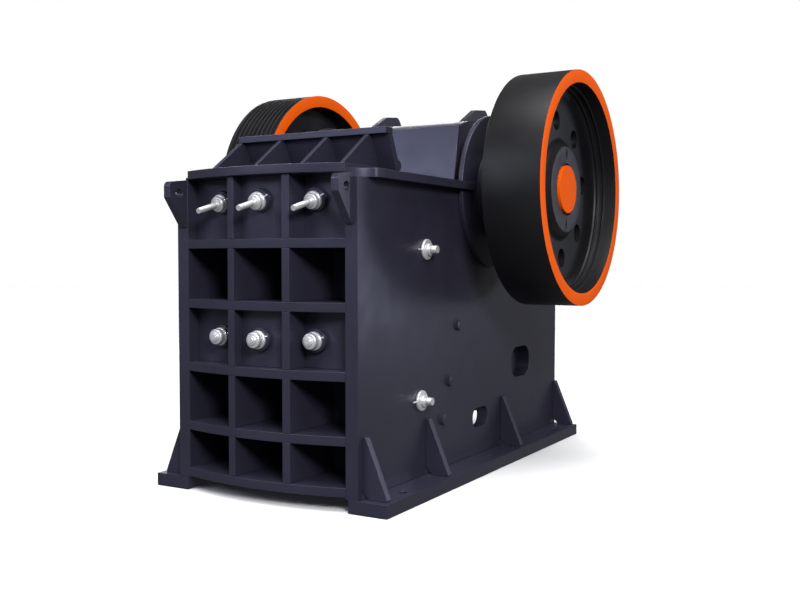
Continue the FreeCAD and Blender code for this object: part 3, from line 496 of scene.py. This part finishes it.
pulley_profile = [
    (PUL_HUB_FACE, BORE_R, 0.002), (PUL_HIGH, BORE_R, 0.002),
    (PUL_HIGH, HUB_R - 0.02, 0.006), (PUL_HIGH - 0.04, HUB_R, 0.01),
    (PUL_WEB_FACE, HUB_R + 0.03, 0.02), (PUL_WEB_FACE, PUL_DISH_R - 0.04, 0.02),
    (PUL_WEB_FACE + 0.02, PUL_DISH_R, 0.01), (PUL_HIGH - COAT, PUL_DISH_R, 0.002),
    (PUL_HIGH - COAT, PUL_R, 0.002),
]
for number in range(GROOVES):
    top = PUL_HIGH - GROOVE_MARGIN - number * PITCH
    pulley_profile += [(top - share * PITCH, PUL_R - depth, rounding)
                       for share, depth, rounding in GROOVE_SHAPE]
pulley_profile += [
    (PUL_LOW + COAT, PUL_R, 0.002), (PUL_LOW + COAT, PUL_DISH_R, 0.002),
    (PUL_WEB - 0.02, PUL_DISH_R - 0.006, 0.01), (PUL_WEB, PUL_DISH_R - 0.04, 0.02),
    (PUL_WEB, HUB_R + 0.06, 0.02), (PUL_LOW + 0.065, HUB_R + 0.004, 0.01),
    (PUL_HUB_FACE, HUB_R - 0.012, 0.006), (PUL_HUB_FACE, SEAT_R + 0.030, 0.003),
    (PUL_RECESS, SEAT_R + 0.026, 0.003), (PUL_RECESS, BORE_R, 0.002),
]
wheel("pulley_turned", pulley_profile,
      [(WEB_HOLES, HOLE_R, PUL_WEB - DRILL_PAST, PUL_WEB_FACE + DRILL_PAST)], "pulley")
ring("pulley_inner_rim_face", "orange_enamel", PUL_HIGH - COAT, PUL_HIGH, PUL_DISH_R, PUL_R)
ring("pulley_outer_rim_face", "orange_enamel", PUL_LOW, PUL_LOW + COAT, PUL_DISH_R,
     PUL_R - 0.005)


# ------------------------------------------------------------------ tie bolts

Disc = namedtuple("Disc", "radius height")
Nuts = namedtuple("Nuts", "seat washer nut stud")

FRONT_NUTS = Nuts(Disc(0.061, 0.026), Disc(0.047, 0.018), Disc(0.040, 0.034), 0.015)
SIDE_NUTS = Nuts(None, Disc(0.055, 0.018), Disc(0.033, 0.028), 0.021)
NECK_DROP = 0.012           # how far below its full height an uncapped nut ends
NECK_RISE = 0.010
STUD_PITCH = 0.006
STUD_DEPTH = 0.0016
PIN_R = 0.0045
PIN_LEVEL = 0.006
NUT_CREASE = 25


def bolt_set(name, places, parts, replaces, tab=0.0, turn=0.0, cap=False):
    """Tie bolts at (foot, axis, reach): bright washers, round nuts and studs.

    A seat is a painted disc under the washer, tab the reach of a lock pin past the washer and
    turn that pin's angle. With cap the nut has its full height, and the neck stands on it.
    """
    seat, washer, nut, stud = parts
    seats, bright = bmesh.new(), bmesh.new()
    for foot, axis, reach in places:
        low = 0.0
        if seat:
            low = seat.height
            turned([(0, 0), (0, seat.radius, 0.002), (low, seat.radius * 0.965, 0.004),
                    (low, 0)], foot, axis, 48, seats)
        high = low + washer.height
        turned([(low, 0), (low, washer.radius * 0.94, 0.002), (low + 0.004, washer.radius, 0.002),
                (high - 0.005, washer.radius, 0.003), (high, washer.radius * 0.9, 0.002),
                (high, 0)], foot, axis, 56, bright)
        top = high + nut.height
        neck = top if cap else top - NECK_DROP
        turned([(high, 0), (high, nut.radius * 0.93, 0.002), (high + 0.006, nut.radius, 0.002),
                (neck - 0.005, nut.radius, 0.004), (neck, nut.radius * 0.86, 0.002), (neck, 0)],
               foot, axis, 56, bright)
        turned([(neck, 0), (neck, nut.radius * 0.62, 0.002),
                (neck + NECK_RISE, nut.radius * 0.6, 0.003), (neck + NECK_RISE, 0)],
               foot, axis, 40, bright)
        thread(bright, foot, axis, neck + 0.006, max(reach, neck + 0.014), stud, STUD_PITCH,
               STUD_DEPTH)
        if tab:
            side = Vector(axis).cross((0, 0, 1)).normalized()
            rise = side.cross(axis).normalized()
            out = side * math.cos(turn) + rise * math.sin(turn)
            inner, outer = washer.radius - 0.003, washer.radius + tab
            turned([(inner, 0), (inner, PIN_R, 0.001), (outer, PIN_R, 0.0015), (outer, 0)],
                   foot + Vector(axis) * (low + PIN_LEVEL), out, 16, bright)
    if seat:
        adopt(name + "_seats", sharpen(from_bmesh(name + "_seats", seats)), "root", "frame_paint")
    adopt(name, sharpen(from_bmesh(name, bright), NUT_CREASE), "root", "bright_steel", replaces)


FRONT_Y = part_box("left_side_plate")[0].y
SIDE_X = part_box("right_side_plate")[1].x
TILT = math.radians(15)
PANEL_FACES = (0.075, 0.0, 0.075)       # how far each front panel lies behind FRONT_Y


def bolt_row(name, node, places, level, axis, reaches, **more):
    """A row of tie bolts across the front."""
    feet = [Vector((x, FRONT_Y + face, level)) for x, face in zip(places, PANEL_FACES)]
    bolt_set(name, [(foot, axis, reach) for foot, reach in zip(feet, reaches)], FRONT_NUTS,
             [node], **more)


bolt_row("upper_bolts", "upper_tie_bolts", (-0.299, -0.003, 0.274), 1.490,
         (0, -math.cos(TILT), -math.sin(TILT)), (0.208, 0.188, 0.205), tab=0.022,
         turn=math.radians(155))
bolt_row("lower_bolts", "lower_tie_bolts", (-0.305, -0.007, 0.274), 0.804,
         (0, -1, 0), (0.084, 0.084, 0.084), tab=0.012, turn=math.radians(160), cap=True)

# On the side plates, each place is (behind FRONT_Y, height).
SIDE_PLACES = ((0.665, 1.249), (0.611, 0.463))
SIDE_REACH = 0.072
HEAD_PLACES = ((1.036, 0.832), (0.932, 0.533), (0.855, 0.329))
HEAD_SEAT = Disc(0.032, 0.004)
HEAD_TOP = 0.018
HEAD_ACROSS = 0.050

side_places = [(Vector((side * SIDE_X, FRONT_Y + y, z)), (side, 0, 0), SIDE_REACH)
               for side in (1, -1) for y, z in SIDE_PLACES]
bolt_set("side_tie_bolts", side_places, SIDE_NUTS, ["side_bolts"], tab=0.030)

heads = bmesh.new()
for side in (1, -1):
    for y, z in HEAD_PLACES:
        foot, axis = Vector((side * SIDE_X, FRONT_Y + y, z)), (side, 0, 0)
        turned([(0, 0), (0, HEAD_SEAT.radius, 0.001),
                (HEAD_SEAT.height, HEAD_SEAT.radius, 0.0015), (HEAD_SEAT.height, 0)],
               foot, axis, 40, heads)
        hexagon(heads, foot, axis, HEAD_SEAT.height, HEAD_TOP, HEAD_ACROSS)
adopt("side_bolt_heads", sharpen(from_bmesh("side_bolt_heads", heads)), "root", "frame_paint")


# -------------------------------------------------------- tension rods, springs

COIL_STEPS = 28             # points of the wire's path for each turn
COIL_AROUND = 12
COIL_FLAT = 0.12            # share of the wire that lies flat at each end
COIL_CREASE = 60


def coil(bm, foot, axis, low, high, radius, wire, turns):
    """Adds a compression spring whose end coils lie flat."""
    place = placer(foot, axis)
    path = []
    steps = int(turns * COIL_STEPS)
    for k in range(steps + 1):
        t = k / steps
        eased = min(1.0, max(0.0, (t - COIL_FLAT) / (1 - 2 * COIL_FLAT)))
        along = low + wire + (high - low - 2 * wire) * eased
        path.append(place(radius, 2 * math.pi * turns * t, along))
    tube(bm, path, wire, COIL_AROUND)


rods_low, rods_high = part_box("tension_rods")
springs_low, springs_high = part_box("tension_springs")
ROD_R = 0.026
SPRING_R = (springs_high.z - springs_low.z) / 2
ROD_Z = (springs_high.z + springs_low.z) / 2
ROD_X = springs_high.x - SPRING_R
THREAD_FROM = springs_high.y - 0.02
CUP = Disc(SPRING_R + 0.006, 0.014)
CUP_LOW = springs_high.y
CUP_HIGH = CUP_LOW + CUP.height
ROD_NUT = 0.030
ROD_NUT_ACROSS = 0.072
WIRE_R = 0.010
COIL_TURNS = 5.5

rods, springs = bmesh.new(), bmesh.new()
for side in (1, -1):
    foot = Vector((side * ROD_X, 0, ROD_Z))
    turned([(rods_low.y, 0), (rods_low.y, ROD_R, 0.003), (THREAD_FROM, ROD_R), (THREAD_FROM, 0)],
           foot, Y_AXIS, 40, rods)
    thread(rods, foot, Y_AXIS, THREAD_FROM, rods_high.y, ROD_R - 0.001, 0.006, 0.0025)
    turned([(CUP_LOW, ROD_R), (CUP_LOW, CUP.radius, 0.002), (CUP_HIGH, CUP.radius, 0.003),
            (CUP_HIGH, ROD_R)], foot, Y_AXIS, 48, rods)
    hexagon(rods, foot, Y_AXIS, CUP_HIGH, CUP_HIGH + ROD_NUT, ROD_NUT_ACROSS, hole=ROD_R * 0.8)
    coil(springs, foot, Y_AXIS, springs_low.y, springs_high.y, SPRING_R - WIRE_R, WIRE_R,
         COIL_TURNS)
adopt("tension_rods_turned", sharpen(from_bmesh("tension_rods_turned", rods)), "root",
      "dark_steel", ["tension_rods"])
adopt("tension_coils", sharpen(from_bmesh("tension_coils", springs), COIL_CREASE), "root",
      "dark_steel", ["tension_springs"])


# ------------------------------------------------ the CAD nodes that stay in view

for node in sorted(NODES):
    if node not in stood_for:
        dress(node, SLOTS[node], EDGES.get(SLOTS[node], PLAIN_EDGE))


# ---------------------------------------------------------- floor, light, camera

FLOOR_SIZE = 40
FLOOR_DROP = 0.002          # below the feet, so that the two faces don't fight
FLOOR_COLOUR = (0.93, 0.93, 0.94, 1.0)
DOME_R = 38
WORLD = 0.17
OVERHEAD = 3.2
OVERHEAD_SPREAD = math.radians(50)
OVERHEAD_TURN = (math.radians(12), math.radians(8), 0)
COOL = (0.78, 0.83, 1.0)
AREA_LIGHTS = (         # name, place, what it points at, size, watts, colour
    ("key", (5.2, -5.8, 4.3), (0, -0.4, 1.0), (1.8, 1.8), 470, WHITE),
    ("strip", (5.6, 6.0, 2.4), (0.5, -0.9, 1.2), (0.9, 4.5), 55, COOL),
    ("soft_front", (-3.6, -7.4, 4.4), (0, -0.9, 1.5), (4.5, 2.6), 180, COOL),
    ("rear_fill", (-5.0, 6.5, 4.2), (0, 0.3, 1.1), (4.0, 3.0), 300, WHITE),
)
CAMERA_SPOT = (2.9813, -5.1391, 1.2030)
CAMERA_TURN = (math.radians(87.57), 0, math.radians(29.74))
LENS = 44.23
SENSOR = 36
CLIP_END = 200


def lay_floor():
    """A pale floor that bounces no light onto the machine and shows in no reflection."""
    bm = bmesh.new()
    bmesh.ops.create_grid(bm, x_segments=8, y_segments=8, size=FLOOR_SIZE)
    floor = stand("floor", from_bmesh("floor", bm))
    floor.location.z = -FLOOR_DROP
    mat = surface("floor", FLOOR_COLOUR, 0.7, tone=0.01, grain=60.0, grain_height=0.0001,
                  specular=0.2)
    floor.data.materials.append(mat)
    floor.visible_diffuse = floor.visible_glossy = False


def raise_backdrop():
    """A white studio dome, which the camera sees and which adds no light."""
    bm = bmesh.new()
    bmesh.ops.create_icosphere(bm, subdivisions=4, radius=DOME_R)
    dome = stand("backdrop", from_bmesh("backdrop", bm))
    mat = bpy.data.materials.new("backdrop")
    mat.use_nodes = True
    glow = mat.node_tree.nodes.new("ShaderNodeEmission")
    glow.inputs["Color"].default_value = (1, 1, 1, 1)
    glow.inputs["Strength"].default_value = 1.0
    end = mat.node_tree.nodes["Material Output"]
    mat.node_tree.links.new(glow.outputs["Emission"], end.inputs["Surface"])
    dome.data.materials.append(mat)
    dome.visible_diffuse = dome.visible_glossy = dome.visible_shadow = False
    dome.visible_transmission = False


def area_light(name, spot, target, size, power, colour):
    """A rectangular light at spot, pointed at target."""
    data = bpy.data.lights.new(name, "AREA")
    data.shape = "RECTANGLE"
    data.size, data.size_y = size
    data.energy = power
    data.color = colour
    light = stand(name, data)
    light.location = spot
    light.rotation_euler = (Vector(target) - Vector(spot)).to_track_quat("-Z", "Y").to_euler()


lay_floor()
raise_backdrop()
world = bpy.data.worlds.new("studio")
world.use_nodes = True
world.node_tree.nodes["Background"].inputs["Color"].default_value = (1, 1, 1, 1)
world.node_tree.nodes["Background"].inputs["Strength"].default_value = WORLD
bpy.context.scene.world = world
for light_row in AREA_LIGHTS:
    area_light(*light_row)
overhead = bpy.data.lights.new("overhead", "SUN")
overhead.energy = OVERHEAD
overhead.angle = OVERHEAD_SPREAD
stand("overhead", overhead).rotation_euler = OVERHEAD_TURN

bpy.context.scene.view_settings.view_transform = "Standard"
bpy.context.scene.view_settings.look = "None"

camera = stand("camera", bpy.data.cameras.new("camera"))
camera.location = CAMERA_SPOT
camera.rotation_euler = CAMERA_TURN
camera.data.sensor_width = SENSOR
camera.data.lens = LENS
camera.data.clip_end = CLIP_END
bpy.context.scene.camera = camera
